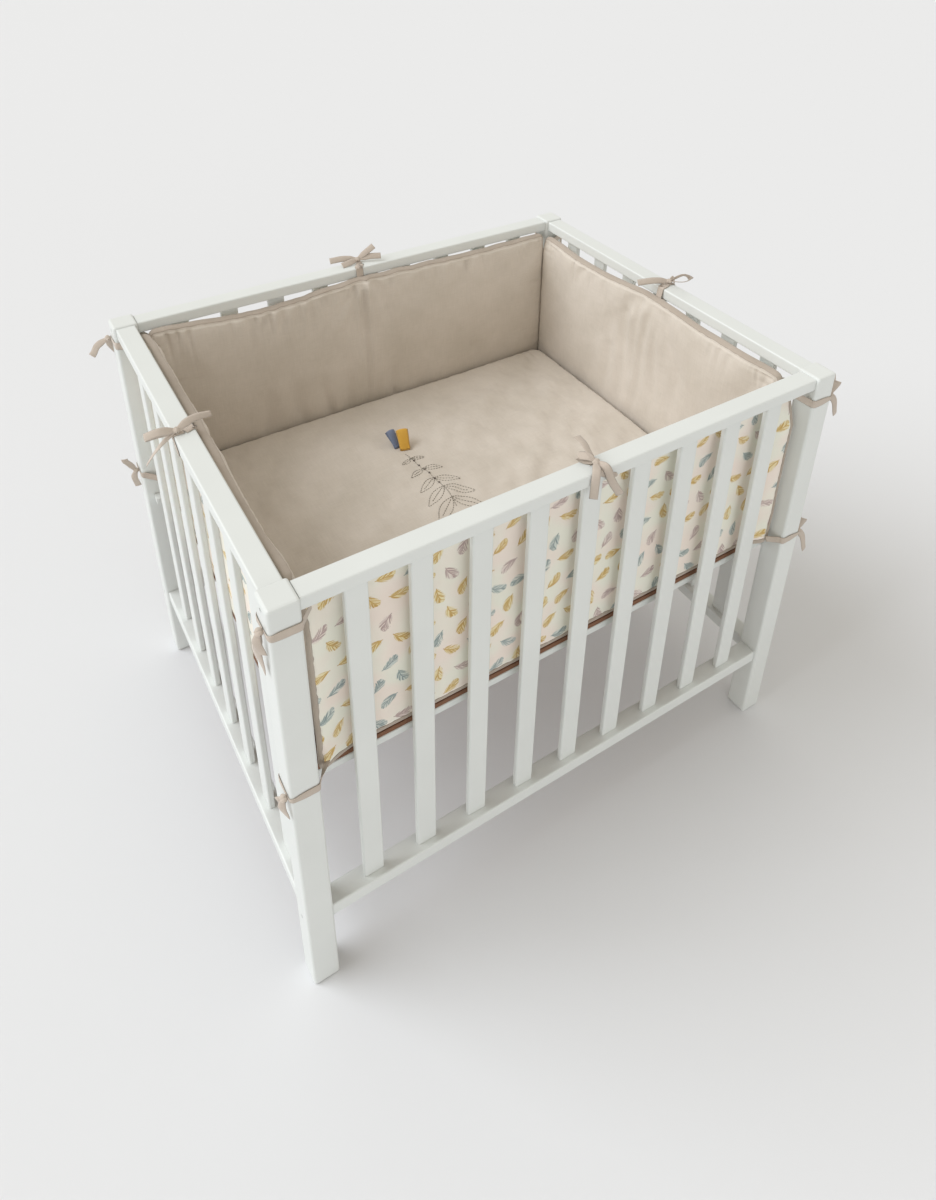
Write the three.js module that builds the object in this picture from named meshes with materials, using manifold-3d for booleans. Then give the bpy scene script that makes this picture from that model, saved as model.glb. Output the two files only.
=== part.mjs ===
// Padded playpen liner tied into a white slatted playpen.
// Millimetres, +Z up, origin on the floor under the middle of the pen. +X runs to the right along the
// front and +Y runs to the back. Each side is made as if it were the front, then turned into place.

import * as THREE from 'three';
import { LoftGeometry } from 'three/addons/geometries/LoftGeometry.js';
import { mergeVertices } from 'three/addons/utils/BufferGeometryUtils.js';
import Module from 'manifold-3d';

const wasm = await Module();
wasm.setup();

// Driving dimensions. `gap` is left between pieces that touch.
const gap = 0.3;
const pen = { width: 1030, depth: 830, height: 850 };
const post = { side: 45, corner: 5, endRound: 4 };
const boltHole = { diameter: 7, deep: 8 };
const topRail = { deep: 35, high: 22, belowPost: 3, corner: 3 };
const bottomRail = { deep: 35, high: 27, base: 155, corner: 3 };
const slat = { wide: 35, thick: 11, corner: 3, tenon: 6 };
const batten = { deep: 20, high: 14, base: 441, corner: 2, pastPost: 30 };
const board = { thick: 9, clear: 2 };
const panel = { inside: 16, outside: 5, seam: 6, corner: 9, flareRun: 35, columns: 24, rows: 7 };
const binding = { wide: 6, thick: 11, clear: 0.6 };
const mat = { clear: 27, seam: 34, crown: 74, corner: 30, columns: 20, rows: 16, pull: 0.86 };
const tape = { wide: 16, thick: 1.6, off: 1.4 };
const knot = { wide: 19, high: 14, deep: 15 };
const tag = { wide: 26, thick: 3 };

// What follows from them: centre to the posts' inner faces, and heights.
const inner = { x: pen.width / 2 - post.side, y: pen.depth / 2 - post.side };
const railTop = pen.height - topRail.belowPost;
const railBase = railTop - topRail.high;
const boardTop = batten.base + batten.high + gap + board.thick;
const panelFoot = boardTop + gap + binding.wide + binding.clear;
const matFoot = boardTop + gap;

// `run` is the length between posts, `reach` the distance from the pen's centre to the side's outer face.
// A side is glued up when its slats and bottom rail are one piece. `high` is the height of its panel. For the
// left and the right half of the panel, seen from outside, `sag` is how far the top edge drops beside the bow,
// `ends` how far the panel stops short of the post, and `flare` how far its tie pulls that end out.
const sides = [
  { name: 'front', turn: 0, run: 2 * inner.x, reach: pen.depth / 2, slats: 9, glued: false,
    high: 342, sag: [7, 9], ends: [22, 10], flare: [15, 20] },
  { name: 'right', turn: 90, run: 2 * inner.y, reach: pen.width / 2, slats: 7, glued: true,
    high: 350, sag: [6, 15], ends: [30, 14], flare: [0, 0] },
  { name: 'back', turn: 180, run: 2 * inner.x, reach: pen.depth / 2, slats: 9, glued: true,
    high: 353, sag: [7, 15], ends: [19, 19], flare: [0, 0] },
  { name: 'left', turn: 270, run: 2 * inner.y, reach: pen.width / 2, slats: 7, glued: false,
    high: 357, sag: [7, 8], ends: [14, 14], flare: [0, 0] },
];
for (const side of sides) side.limits = [side.ends[0] - side.run / 2, side.run / 2 - side.ends[1]];

// Folds of the panels: where one crosses the top edge and the foot, how far it dents the panel (inwards is
// positive), its half width, and the power with which it fades towards the foot.
const folds = [
  { side: 'front', top: 0, foot: 10, dent: 4, half: 60, fade: 1.5 },
  { side: 'front', top: -210, foot: -240, dent: -3, half: 60, fade: 0.5 },
  { side: 'front', top: 230, foot: 210, dent: -3, half: 70, fade: 0.5 },
  { side: 'right', top: -16, foot: 90, dent: -2, half: 55, fade: 0.8 },
  { side: 'right', top: 0, foot: 200, dent: 4, half: 55, fade: 0.8 },
  { side: 'right', top: -40, foot: -150, dent: 4, half: 60, fade: 1 },
  { side: 'back', top: 14, foot: 20, dent: -2, half: 46, fade: 0.5 },
  { side: 'back', top: 95, foot: 105, dent: 4, half: 60, fade: 0.7 },
  { side: 'back', top: -85, foot: -95, dent: 4, half: 60, fade: 0.7 },
  { side: 'left', top: 8, foot: 0, dent: 4, half: 55, fade: 1.2 },
  { side: 'left', top: -150, foot: -170, dent: -4, half: 60, fade: 0.4 },
  { side: 'left', top: 170, foot: 150, dent: -3, half: 60, fade: 0.4 },
];

// Soft hollows in the top of the mat.
const hollows = [
  { x: -250, y: 130, half: 130, deep: 8 },
  { x: 210, y: 190, half: 150, deep: 7 },
  { x: 40, y: -150, half: 160, deep: 9 },
  { x: -330, y: -190, half: 110, deep: 6 },
  { x: 340, y: -120, half: 120, deep: 7 },
];

// Bows on the top rails. Places are along the rail, out from the rail's middle line, and up from the floor;
// `lead` is where the tape comes up from the panel, `band` where it goes back under the rail.
const bows = [
  { side: 'front', knot: [-5, 5, 854.6], lead: -6, band: 26.5,
    ends: [
      { kind: 'tail', via: [2, -20, 861], tip: [8, -49, 862] },
      { kind: 'tail', via: [-12, 23, 852], tip: [-20, 33, 816] },
      { kind: 'loop', via: [4, -8, 866], tip: [10, -25, 861] },
      { kind: 'loop', via: [-12, -4, 863], tip: [-18, -14, 858] },
    ] },
  { side: 'right', knot: [-16, 10, 854.6], lead: -17, band: -26.5,
    ends: [
      { kind: 'tail', via: [-4, -22, 860], tip: [8, -55, 858] },
      { kind: 'loop', via: [-31, 26, 869], tip: [-41, 44, 862] },
      { kind: 'tail', via: [-8, 25, 852], tip: [4, 38, 812] },
    ] },
  { side: 'back', knot: [2, 12, 854.6], lead: 14, band: -26.5,
    ends: [
      { kind: 'tail', via: [33, 18, 864], tip: [63, 22, 859] },
      { kind: 'tail', via: [-14, -2, 861], tip: [-31, -16, 857] },
      { kind: 'loop', via: [-16, 24, 870], tip: [-36, 31, 868] },
      { kind: 'tail', via: [24, -3, 853], tip: [45, -12, 851] },
    ] },
  { side: 'left', knot: [8, 11, 854.6], lead: -11, band: 26.5,
    ends: [
      { kind: 'loop', via: [11, 36, 863], tip: [13, 56, 857] },
      { kind: 'tail', via: [-6, 36, 848], tip: [-28, 54, 787] },
      { kind: 'tail', via: [4, -20, 862], tip: [0, -47, 861] },
    ] },
];

// Ties round the posts. `x` and `y` are the post's signs, `band` the tape's height, `at` how far the knot is
// from the middle of the post's outer face towards the outside of the pen. A tip is given by how far it
// stands off that face, and by how far it lies along the face and up from the knot.
const cornerTies = [
  { name: 'near_left_top', x: -1, y: -1, band: 804, at: 1, tips: [[5, 3, -38], [7, -9, -84]] },
  { name: 'near_left_foot', x: -1, y: -1, band: 495, at: 4, tips: [[6, 7, -54], [9, -12, -40]] },
  { name: 'near_right_top', x: 1, y: -1, band: 800, at: 14, tips: [[16, 3, 26], [34, 2, -52], [38, -24, 20]] },
  { name: 'near_right_foot', x: 1, y: -1, band: 486, at: 14, tips: [[12, 4, 28], [42, 2, -68]] },
  { name: 'far_left_top', x: -1, y: 1, band: 812, at: 6, tips: [[40, 2, -14], [8, -8, -50]] },
  { name: 'far_left_foot', x: -1, y: 1, band: 508, at: 2, tips: [[25, -4, 38], [7, 6, -44]] },
  { name: 'far_right_top', x: 1, y: 1, band: 804, at: 3, tips: [[18, 4, -52], [7, -8, -62]] },
  { name: 'far_right_foot', x: 1, y: 1, band: 494, at: 2, tips: [[8, 5, -52], [20, -6, -38]] },
];

// Folded ribbons sewn to the mat: where the sewn end is, and the tip of the fold from there.
const tags = [
  { name: 'blue', x: -49, y: 154, tip: [1, 33, 20] },
  { name: 'mustard', x: -40, y: 139, tip: [9, 30, 26] },
];

const matte = (color, roughness) => new THREE.MeshStandardMaterial({ color, roughness, metalness: 0 });
const paint = matte(0xe9ebe6, 0.45);
const hardboard = matte(0x805d44, 0.85);
const printedCloth = matte(0xdcd4c6, 0.95);
const plainCloth = matte(0xbdb0a1, 0.95);
const tapeCloth = matte(0xb3a594, 0.95);
const ribbons = { blue: matte(0x6f7b96, 0.7), mustard: matte(0xd8a63f, 0.7) };

const liner = new THREE.Group();

function place(name, geometry, material, turn = 0) {
  const mesh = new THREE.Mesh(geometry.rotateZ(THREE.MathUtils.degToRad(turn)), material);
  mesh.name = name;
  liner.add(mesh);
}

// A closed geometry as a solid that can be joined or cut, and back again.
function toManifold(geometry) {
  const bare = new THREE.BufferGeometry().copy(geometry);
  bare.deleteAttribute('normal');
  bare.deleteAttribute('uv');
  const merged = mergeVertices(bare, 1e-3);
  return new wasm.Manifold(new wasm.Mesh({
    numProp: 3,
    vertProperties: merged.attributes.position.array,
    triVerts: new Uint32Array(merged.index.array),
  }));
}

function toGeometry(manifold) {
  const { vertProperties, triVerts } = manifold.getMesh();
  const geometry = new THREE.BufferGeometry();
  geometry.setAttribute('position', new THREE.BufferAttribute(vertProperties, 3));
  geometry.setIndex(new THREE.BufferAttribute(triVerts, 1));
  geometry.computeVertexNormals();
  return geometry;
}

// Solids joined into one, and a solid with others cut from it.
const join = (geometries) => toGeometry(
  geometries.map(toManifold).reduce((all, one) => all.add(one)).simplify(0.05));
const cut = (geometry, tools) => toGeometry(
  tools.map(toManifold).reduce((rest, tool) => rest.subtract(tool), toManifold(geometry)));

// Bar of rounded rectangular section, its length up from z = 0.
function bar(wide, deep, length, corner, endRound = 0) {
  const x = wide / 2 - corner;
  const y = deep / 2 - corner;
  const section = new THREE.Shape();
  [[x, y, 0], [-x, y, 1], [-x, -y, 2], [x, -y, 3]].forEach(([cx, cy, quarter]) => {
    section.absarc(cx, cy, corner, quarter * Math.PI / 2, (quarter + 1) * Math.PI / 2);
  });
  return new THREE.ExtrudeGeometry(section, {
    depth: length - 2 * endRound,
    curveSegments: 3,
    bevelEnabled: endRound > 0,
    bevelThickness: endRound,
    bevelSize: endRound,
    bevelOffset: -endRound,
    bevelSegments: 2,
  }).translate(0, 0, endRound);
}

// Bar lying along x, centred on x = 0 at the middle of its section.
const beam = (high, deep, length, corner) => bar(high, deep, length, corner)
  .translate(0, 0, -length / 2).rotateY(Math.PI / 2);

// Fractions from 0 to 1, closer together at both ends, where the cloth curves most.
const closing = (count, pull = 0.7) => Array.from({ length: count + 1 }, (_, i) =>
  i / count - pull * Math.sin(2 * Math.PI * i / count) / (2 * Math.PI));

// How full a filled cushion is at a fraction of its width: nothing at the seams, full over the middle.
const fullness = (share, firmness) => Math.sqrt(Math.max(0, 1 - Math.abs(2 * share - 1) ** firmness));

// How far a rounded corner draws an edge in at a distance from the end of it.
const drawnIn = (fromEnd, corner) => {
  const across = THREE.MathUtils.clamp(corner - fromEnd, 0, corner);
  return corner - Math.sqrt(corner * corner - across * across);
};

// Cushion of two faces that meet in a seam all round. `at(along, across, face)` gives a point of a face.
function cushion(columns, rows, at, pull) {
  const steps = closing(rows, pull);
  const sections = closing(columns, pull).map((along) => [
    ...steps.map((across) => at(along, across, 1)),
    ...steps.slice(1, -1).reverse().map((across) => at(along, across, -1)),
  ]);
  return new LoftGeometry(sections, { closed: true, capStart: false, capEnd: false });
}

// Flat tape along a line of points; `widths` holds the direction of its width at each point.
function strip(points, widths, wide, thick) {
  const sections = points.map((point, i) => {
    const next = points[Math.min(i + 1, points.length - 1)];
    const along = next.clone().sub(points[Math.max(i - 1, 0)]).normalize();
    const across = widths[i].clone().addScaledVector(along, -widths[i].dot(along)).normalize();
    const up = along.clone().cross(across);
    return [[-1, -1], [1, -1], [1, 1], [-1, 1]].map(([a, u]) => point.clone()
      .addScaledVector(across, a * wide / 2).addScaledVector(up, u * thick / 2));
  });
  return new LoftGeometry(sections, { closed: true, capStart: true, capEnd: true });
}

const sameWidths = (points, width) => points.map(() => width);

// Tape from a knot over a middle point to a free tip; a loop comes back to the knot under itself.
function bowEnd(start, via, tip, kind, rise) {
  const route = [start, via, tip];
  if (kind === 'loop') {
    const back = start.clone().lerp(tip, 0.55).addScaledVector(rise, -1);
    route.push(back, start.clone().addScaledVector(rise, -1.5));
  }
  const across = tip.clone().sub(start).cross(rise).normalize();
  const points = new THREE.CatmullRomCurve3(route).getPoints(kind === 'loop' ? 7 : 3);
  return strip(points, sameWidths(points, across), tape.wide, tape.thick);
}

// Points round one rounded corner of a timber, a tape's distance off it, from an angle down by 90 degrees.
const roundCorner = (cx, cy, corner, from) => [0, 45, 90].map((step) => {
  const angle = THREE.MathUtils.degToRad(from - step);
  return [cx + (corner + tape.off) * Math.cos(angle), cy + (corner + tape.off) * Math.sin(angle)];
});

const knotAt = (centre, wide, high, deep) => new THREE.SphereGeometry(0.5, 7, 5)
  .scale(wide, deep, high).translate(centre.x, centre.y, centre.z);

// The playpen's posts, with a bolt hole at the height of each rail.
for (const [yName, y] of [['near', -1], ['far', 1]]) {
  for (const [xName, x] of [['left', -1], ['right', 1]]) {
    const centre = { x: x * (inner.x + post.side / 2), y: y * (inner.y + post.side / 2) };
    const timber = bar(post.side, post.side, pen.height, post.corner, post.endRound)
      .translate(centre.x, centre.y, 0);
    const holes = [railBase + topRail.high / 2, bottomRail.base + bottomRail.high / 2].map((height) =>
      new THREE.CylinderGeometry(boltHole.diameter / 2, boltHole.diameter / 2, 2 * boltHole.deep, 16)
        .rotateZ(Math.PI / 2).translate(x * pen.width / 2, centre.y, height));
    place(`post_${yName}_${xName}`, cut(timber, holes), paint);
  }
}

// Rails and slats of each side.
for (const side of sides) {
  const line = -(side.reach - post.side / 2);
  const top = beam(topRail.high, topRail.deep, side.run - 2 * gap, topRail.corner)
    .translate(0, line, railTop - topRail.high / 2);
  place(`top_rail_${side.name}`, top, paint, side.turn);

  const foot = beam(bottomRail.high, bottomRail.deep, side.run - 2 * gap, bottomRail.corner)
    .translate(0, line, bottomRail.base + bottomRail.high / 2);
  const space = (side.run - side.slats * slat.wide) / (side.slats + 1);
  const slatFoot = bottomRail.base + bottomRail.high + (side.glued ? -slat.tenon : gap);
  const slats = Array.from({ length: side.slats }, (_, i) =>
    bar(slat.wide, slat.thick, railBase - gap - slatFoot, slat.corner)
      .translate((i - (side.slats - 1) / 2) * (slat.wide + space), line, slatFoot));
  if (side.glued) {
    place(`slats_and_bottom_rail_${side.name}`, join([foot, ...slats]), paint, side.turn);
  } else {
    place(`bottom_rail_${side.name}`, foot, paint, side.turn);
    slats.forEach((one, i) => place(`slat_${side.name}_${i + 1}`, one, paint, side.turn));
  }
}

// Floor board on its two battens, which are screwed to the inner faces of the posts.
for (const [name, y] of [['near', -1], ['far', 1]]) {
  const strut = beam(batten.high, batten.deep, 2 * (inner.x + batten.pastPost), batten.corner)
    .translate(0, y * (inner.y - gap - batten.deep / 2), batten.base + batten.high / 2);
  place(`batten_${name}`, strut, paint);
}
place('floor_board', new THREE.BoxGeometry(
  2 * (inner.x - board.clear), 2 * (inner.y - board.clear), board.thick)
  .translate(0, 0, boardTop - board.thick / 2), hardboard);

// Where a point of a side panel hangs: along the side, up the flat panel from its lower seam, and inwards
// from its seam. The top edge sags between the ties, and the folds dent the whole thickness.
function hang(side, along, up, inwards) {
  const rise = THREE.MathUtils.clamp(up / side.high, 0, 1);
  const swing = Math.sin(Math.PI * along / side.limits[along < 0 ? 0 : 1]) ** 2;
  const drop = side.sag[along < 0 ? 0 : 1] * swing * rise;
  const dent = folds.filter((fold) => fold.side === side.name).reduce((sum, fold) => {
    const off = along - THREE.MathUtils.lerp(fold.foot, fold.top, rise);
    return sum + fold.dent * Math.exp(-((off / fold.half) ** 2)) * rise ** fold.fade;
  }, 0);
  const belowRail = THREE.MathUtils.clamp((0.93 - rise) / 0.15, 0, 1);
  const flare = side.flare.reduce((sum, out, end) =>
    sum + out * Math.exp(-(((along - side.limits[end]) / panel.flareRun) ** 2)), 0) * belowRail;
  const depth = -(side.reach - post.side) + panel.seam + dent - flare + inwards;
  return new THREE.Vector3(along, depth, panelFoot + up - drop);
}

// Side panels and the binding round each one.
for (const side of sides) {
  const [left, right] = side.limits;
  const padding = cushion(panel.columns, panel.rows, (along, across, face) => {
    const spot = THREE.MathUtils.lerp(left, right, along);
    const inset = drawnIn(Math.min(spot - left, right - spot), panel.corner);
    const up = inset + across * (side.high - 2 * inset);
    const full = fullness(along, 20) * fullness(across, 12);
    return hang(side, spot, up, full * (face > 0 ? panel.inside : -panel.outside));
  });
  place(`panel_${side.name}`, padding, printedCloth, side.turn);

  const outline = new THREE.Path();
  const first = left + panel.corner;
  const last = right - panel.corner;
  const low = panel.corner;
  const high = side.high - panel.corner;
  const radius = panel.corner + binding.clear + binding.wide / 2;
  const between = closing(panel.columns).map((share) => THREE.MathUtils.lerp(left, right, share))
    .filter((spot) => spot > first && spot < last);
  outline.moveTo(first, low - radius);
  between.forEach((spot) => outline.lineTo(spot, low - radius));
  outline.lineTo(last, low - radius).absarc(last, low, radius, -Math.PI / 2, 0).lineTo(last + radius, high);
  outline.absarc(last, high, radius, 0, Math.PI / 2);
  between.reverse().forEach((spot) => outline.lineTo(spot, high + radius));
  outline.lineTo(first, high + radius).absarc(first, high, radius, Math.PI / 2, Math.PI);
  outline.lineTo(first - radius, low).absarc(first, low, radius, Math.PI, 1.5 * Math.PI);
  const flat = outline.getPoints(2).filter((point, i, all) => i === 0 || point.distanceTo(all[i - 1]) > 0.01);
  if (flat[0].distanceTo(flat.at(-1)) < 0.01) flat.pop();
  const hoop = flat.map((point, i) => {
    const along = flat[(i + 1) % flat.length].clone().sub(flat.at(i - 1)).normalize();
    return Array.from({ length: 6 }, (_, k) => {
      const angle = k * Math.PI / 3;
      const out = Math.cos(angle) * binding.wide / 2;
      return hang(side, point.x + along.y * out, point.y - along.x * out, Math.sin(angle) * binding.thick / 2);
    });
  });
  const tube = new LoftGeometry([...hoop, hoop[0]], { closed: true, capStart: false, capEnd: false });
  place(`binding_${side.name}`, tube, tapeCloth, side.turn);
}

// Height of the mat's upper face where its filling is a given share of full.
function matSurface(x, y, full) {
  const dip = hollows.reduce((sum, one) =>
    sum + one.deep * Math.exp(-((x - one.x) ** 2 + (y - one.y) ** 2) / one.half ** 2), 0);
  return matFoot + mat.seam + full * (mat.crown - mat.seam - dip);
}

// Padded mat: a flat underside that turns up to the seam, and a soft uneven top.
const matHalf = { x: inner.x - mat.clear, y: inner.y - mat.clear };
place('floor_mat', cushion(mat.columns, mat.rows, (along, across, face) => {
  const x = (2 * along - 1) * matHalf.x;
  const inset = drawnIn(matHalf.x - Math.abs(x), mat.corner);
  const y = (2 * across - 1) * (matHalf.y - inset);
  const full = fullness(along, 32) * fullness(across, 28);
  const underside = matFoot + mat.seam * (1 - Math.min(1, full / 0.9)) ** 1.2;
  return new THREE.Vector3(x, -y, face > 0 ? matSurface(x, -y, full) : underside);
}, mat.pull), plainCloth);

// Ribbon tags standing on the mat by their sewn ends.
for (const one of tags) {
  const foot = new THREE.Vector3(one.x, one.y, matSurface(one.x, one.y, 1) + tag.thick / 2 + 0.8);
  const tip = foot.clone().add(new THREE.Vector3(...one.tip));
  const middle = foot.clone().lerp(tip, 0.5).add(new THREE.Vector3(0, 0, -2));
  const points = new THREE.CatmullRomCurve3([foot, middle, tip]).getPoints(6);
  const across = new THREE.Vector3(1, one.tip[0] / -one.tip[1], 0.1);
  place(`tag_${one.name}`, strip(points, sameWidths(points, across), tag.wide, tag.thick), ribbons[one.name]);
}

// Bows on the top rails: a lead up from the panel, a band round the rail, the knot and the free ends.
for (const bow of bows) {
  const side = sides.find((one) => one.name === bow.side);
  const line = -(side.reach - post.side / 2);
  const point = ([along, out, up]) => new THREE.Vector3(along, line - out, up);
  const [knotAlong] = bow.knot;
  const sewn = (along) => hang(side, along, side.high + binding.wide / 2, -binding.thick / 2 - 2.2);
  const railX = topRail.deep / 2 - topRail.corner;
  const upper = railTop - topRail.corner;
  const lower = railBase + topRail.corner;
  const face = topRail.deep / 2 + tape.off;
  const middle = (upper + lower) / 2;
  const lead = roundCorner(-railX, upper, topRail.corner, 180).map((spot) => point([bow.lead, ...spot]));
  const over = [
    [-railX / 2, railTop + tape.off], ...roundCorner(railX, upper, topRail.corner, 90), [face, middle],
  ].map((spot) => point([knotAlong, ...spot]));
  const slant = [[knotAlong, face, upper], [bow.band, face, lower]].map(point);
  const under = [
    [face, middle], ...roundCorner(railX, lower, topRail.corner, 0),
    ...roundCorner(-railX, lower, topRail.corner, -90),
  ].map((spot) => point([bow.band, ...spot]));
  const alongRail = new THREE.Vector3(1, 0, 0);
  const centre = point(bow.knot);
  const rise = new THREE.Vector3(0, 0, 1);
  place(`rail_tie_${bow.side}`, join([
    ...[[sewn(bow.lead), ...lead, over[0]], over, slant, [...under, sewn(bow.band)]].map((points) =>
      strip(points, sameWidths(points, alongRail), tape.wide, tape.thick)),
    knotAt(centre, knot.wide, knot.high, knot.deep),
    ...bow.ends.map((end) => bowEnd(centre, point(end.via), point(end.tip), end.kind, rise)),
  ]), tapeCloth, side.turn);
}

// Ties round the posts: from one panel's end, round the outside of the post, to the next panel's end.
for (const tie of cornerTies) {
  const hub = { x: tie.x * (inner.x + post.side / 2), y: tie.y * (inner.y + post.side / 2) };
  const point = ([outX, outY, up]) => new THREE.Vector3(hub.x + tie.x * outX, hub.y + tie.y * outY, up);
  const face = post.side / 2 + tape.off;
  const turn = post.side / 2 - post.corner;
  const [front, right, back, left] = sides;
  const long = { side: tie.y < 0 ? front : back, end: tie.x * tie.y < 0 ? 1 : 0 };
  const short = { side: tie.x < 0 ? left : right, end: tie.x * tie.y < 0 ? 0 : 1 };
  const end = (one) => post.side / 2 + one.side.ends[one.end] - binding.wide - binding.clear - 1;
  const seam = (one) => post.side / 2 + panel.seam - one.side.flare[one.end] - binding.thick / 2 + 2;
  const wrap = [
    [-end(long), -seam(long)],
    ...roundCorner(-turn, turn, post.corner, 180),
    ...roundCorner(turn, turn, post.corner, 90),
    ...roundCorner(turn, -turn, post.corner, 0),
    [-seam(short), -end(short)],
  ].map(([outX, outY]) => point([outX, outY, tie.band]));
  const off = face + knot.deep / 2 - tape.off / 2;
  const centre = point([off, tie.at, tie.band]);
  const rise = new THREE.Vector3(tie.x, 0, 0);
  const tails = tie.tips.map(([out, along, up]) => {
    const tip = point([post.side / 2 + out, tie.at + along, tie.band + up]);
    const via = centre.clone().lerp(tip, 0.5).addScaledVector(rise, 3);
    return bowEnd(centre, via, tip, 'tail', rise);
  });
  place(`corner_tie_${tie.name}`, join([
    strip(wrap, sameWidths(wrap, new THREE.Vector3(0, 0, 1)), tape.wide, tape.thick),
    knotAt(centre, knot.deep, knot.high, knot.wide),
    ...tails,
  ]), tapeCloth);
}

export default liner;
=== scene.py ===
"""Padded liner tied into a white slatted playpen: the looks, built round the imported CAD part."""

import bpy
import numpy as np
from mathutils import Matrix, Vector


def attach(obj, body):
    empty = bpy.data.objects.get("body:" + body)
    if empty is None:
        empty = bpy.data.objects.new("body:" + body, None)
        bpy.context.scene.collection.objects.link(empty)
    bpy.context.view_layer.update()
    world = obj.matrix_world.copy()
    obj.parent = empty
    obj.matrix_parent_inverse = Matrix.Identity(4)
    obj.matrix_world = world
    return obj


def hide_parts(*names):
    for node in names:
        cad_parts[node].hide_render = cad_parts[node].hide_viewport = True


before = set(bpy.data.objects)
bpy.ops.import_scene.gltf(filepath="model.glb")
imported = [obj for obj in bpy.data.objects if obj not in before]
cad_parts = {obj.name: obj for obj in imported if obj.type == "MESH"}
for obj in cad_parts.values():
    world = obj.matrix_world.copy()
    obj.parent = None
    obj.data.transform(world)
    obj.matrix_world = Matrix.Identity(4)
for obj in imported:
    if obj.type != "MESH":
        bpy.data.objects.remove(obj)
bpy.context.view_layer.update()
mm = 0.001


# Timber of the pen: posts, rails, slats and the two battens under the floor board.
# Planed beech under white satin paint, with eased edges, bolted at the posts; the CAD solids are shown as
# they are, and the paint runs with the grain of each one.
def linear(code):
    """An sRGB hex code as a linear colour with full alpha: the sRGB curve undone on each channel."""
    v = np.array([int(code[i:i + 2], 16) for i in (0, 2, 4)]) / 255
    return (*np.where(v <= 0.04045, v / 12.92, ((v + 0.055) / 1.055) ** 2.4), 1.0)


def add(tree, kind, *inputs, **settings):
    """Adds one shader node and returns its outputs. Inputs go in their order, or in a dict by name or number:
    a socket is linked, a value is set."""
    made = tree.nodes.new("ShaderNode" + kind)
    for key, value in settings.items():
        setattr(made, key, value)
    named = inputs[0] if inputs and isinstance(inputs[0], dict) else dict(enumerate(inputs))
    for key, value in named.items():
        if isinstance(value, bpy.types.NodeSocket):
            tree.links.new(value, made.inputs[key])
        else:
            made.inputs[key].default_value = value
    return made.outputs


def new_material(name, **constants):
    """A material with its tree and its surface shader, whose constant sockets are set by name."""
    made = bpy.data.materials.new(name)
    made.use_nodes = True
    shader = made.node_tree.nodes["Principled BSDF"]
    for key, value in constants.items():
        shader.inputs[key.replace("_", " ")].default_value = value
    return made, made.node_tree, shader


def wire(tree, shader, **sockets):
    """Links sockets to the surface shader's inputs by name."""
    for key, socket in sockets.items():
        tree.links.new(socket, shader.inputs[key.replace("_", " ")])


def per(size):
    """How often a pattern of a real size in millimetres comes in a metre."""
    return 1000 / size


# Satin paint: faint brush streaks along the grain and slow changes of white keep the flat faces from looking
# moulded. The streaks are drawn wider than a brush leaves them, so that they show.
streak_long, streak_wide, cloud_wide, eased_edge = per(200), per(6.25), per(143), 1.2 * mm
paints = {}
for grain in "xyz":
    paint, tree, shader = new_material(f"white_paint_on_wood_{grain}", Roughness=0.36)
    where = add(tree, "TexCoord")["Object"]
    stretch = [streak_long if axis == grain else streak_wide for axis in "xyz"]
    streaks = add(tree, "TexNoise", {
        "Vector": add(tree, "VectorMath", where, stretch, operation="MULTIPLY")[0],
        "Scale": 1.0, "Detail": 3.0})["Fac"]
    clouds = add(tree, "TexNoise", {"Vector": where, "Scale": cloud_wide, "Detail": 2.0})["Fac"]
    white = add(tree, "Mix", {0: clouds, 6: linear("D8DBD8"), 7: linear("E1E4E1")}, data_type="RGBA")[2]
    bump = add(tree, "Bump", {"Height": streaks, "Strength": 0.12, "Distance": 0.4 * mm})[0]
    edge = add(tree, "Bevel", {"Radius": eased_edge, "Normal": bump}, samples=4)[0]
    wire(tree, shader, Base_Color=white, Normal=edge)
    paints[grain] = paint

for name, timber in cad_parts.items():
    if name.startswith(("top_rail", "bottom_rail", "batten")):
        grain = "y" if name.endswith(("left", "right")) else "x"
    elif name.startswith(("post", "slat")):
        grain = "z"
    else:
        continue
    timber.data.materials.clear()
    timber.data.materials.append(paints[grain])


# Floor board: pressed hardboard, sawn to size and laid loose on the battens.
# Its faces are under the mat and the panels, and its raw brown edges show below them.
hardboard, tree, shader = new_material("raw_hardboard", Roughness=0.85)
where = add(tree, "TexCoord")["Object"]
# Short lying fibres: a fine speckle stretched along the board, dark to mid brown.
fibre_long, fibre_high = per(3.85), per(1.11)
fibres = add(tree, "TexNoise", {
    "Vector": add(tree, "VectorMath", where, (fibre_long, fibre_long, fibre_high), operation="MULTIPLY")[0],
    "Scale": 1.0, "Detail": 4.0})["Fac"]
brown = add(tree, "Mix", {0: fibres, 6: linear("5E4030"), 7: linear("94694C")}, data_type="RGBA")[2]
wire(tree, shader, Base_Color=brown)
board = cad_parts["floor_board"]
board.data.materials.clear()
board.data.materials.append(hardboard)


# Side panels: four padded pillows of two cotton faces, plain beige inside and feather print outside.
# They are sewn shut along a seam all round and stand on the board; the ties pull folds into their tops.
def steps(count, pull):
    """Fractions from 0 to 1, crowded towards both ends by a sine of strength `pull`."""
    t = np.linspace(0, 1, count + 1)
    return t - pull * np.sin(2 * np.pi * t) / (2 * np.pi)


def fullness(share, firmness):
    """How full a stuffed piece is at a share of its width: the root of one less a power of the distance from
    the middle."""
    return np.sqrt(np.clip(1 - np.abs(2 * share - 1) ** firmness, 0, 1))


def drawn_in(from_end, corner):
    """How far a rounded corner has drawn an edge in, at a distance from the end: the rise of a quarter
    circle."""
    across = np.clip(corner - from_end, 0, corner)
    return corner - np.sqrt(corner ** 2 - across ** 2)


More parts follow.
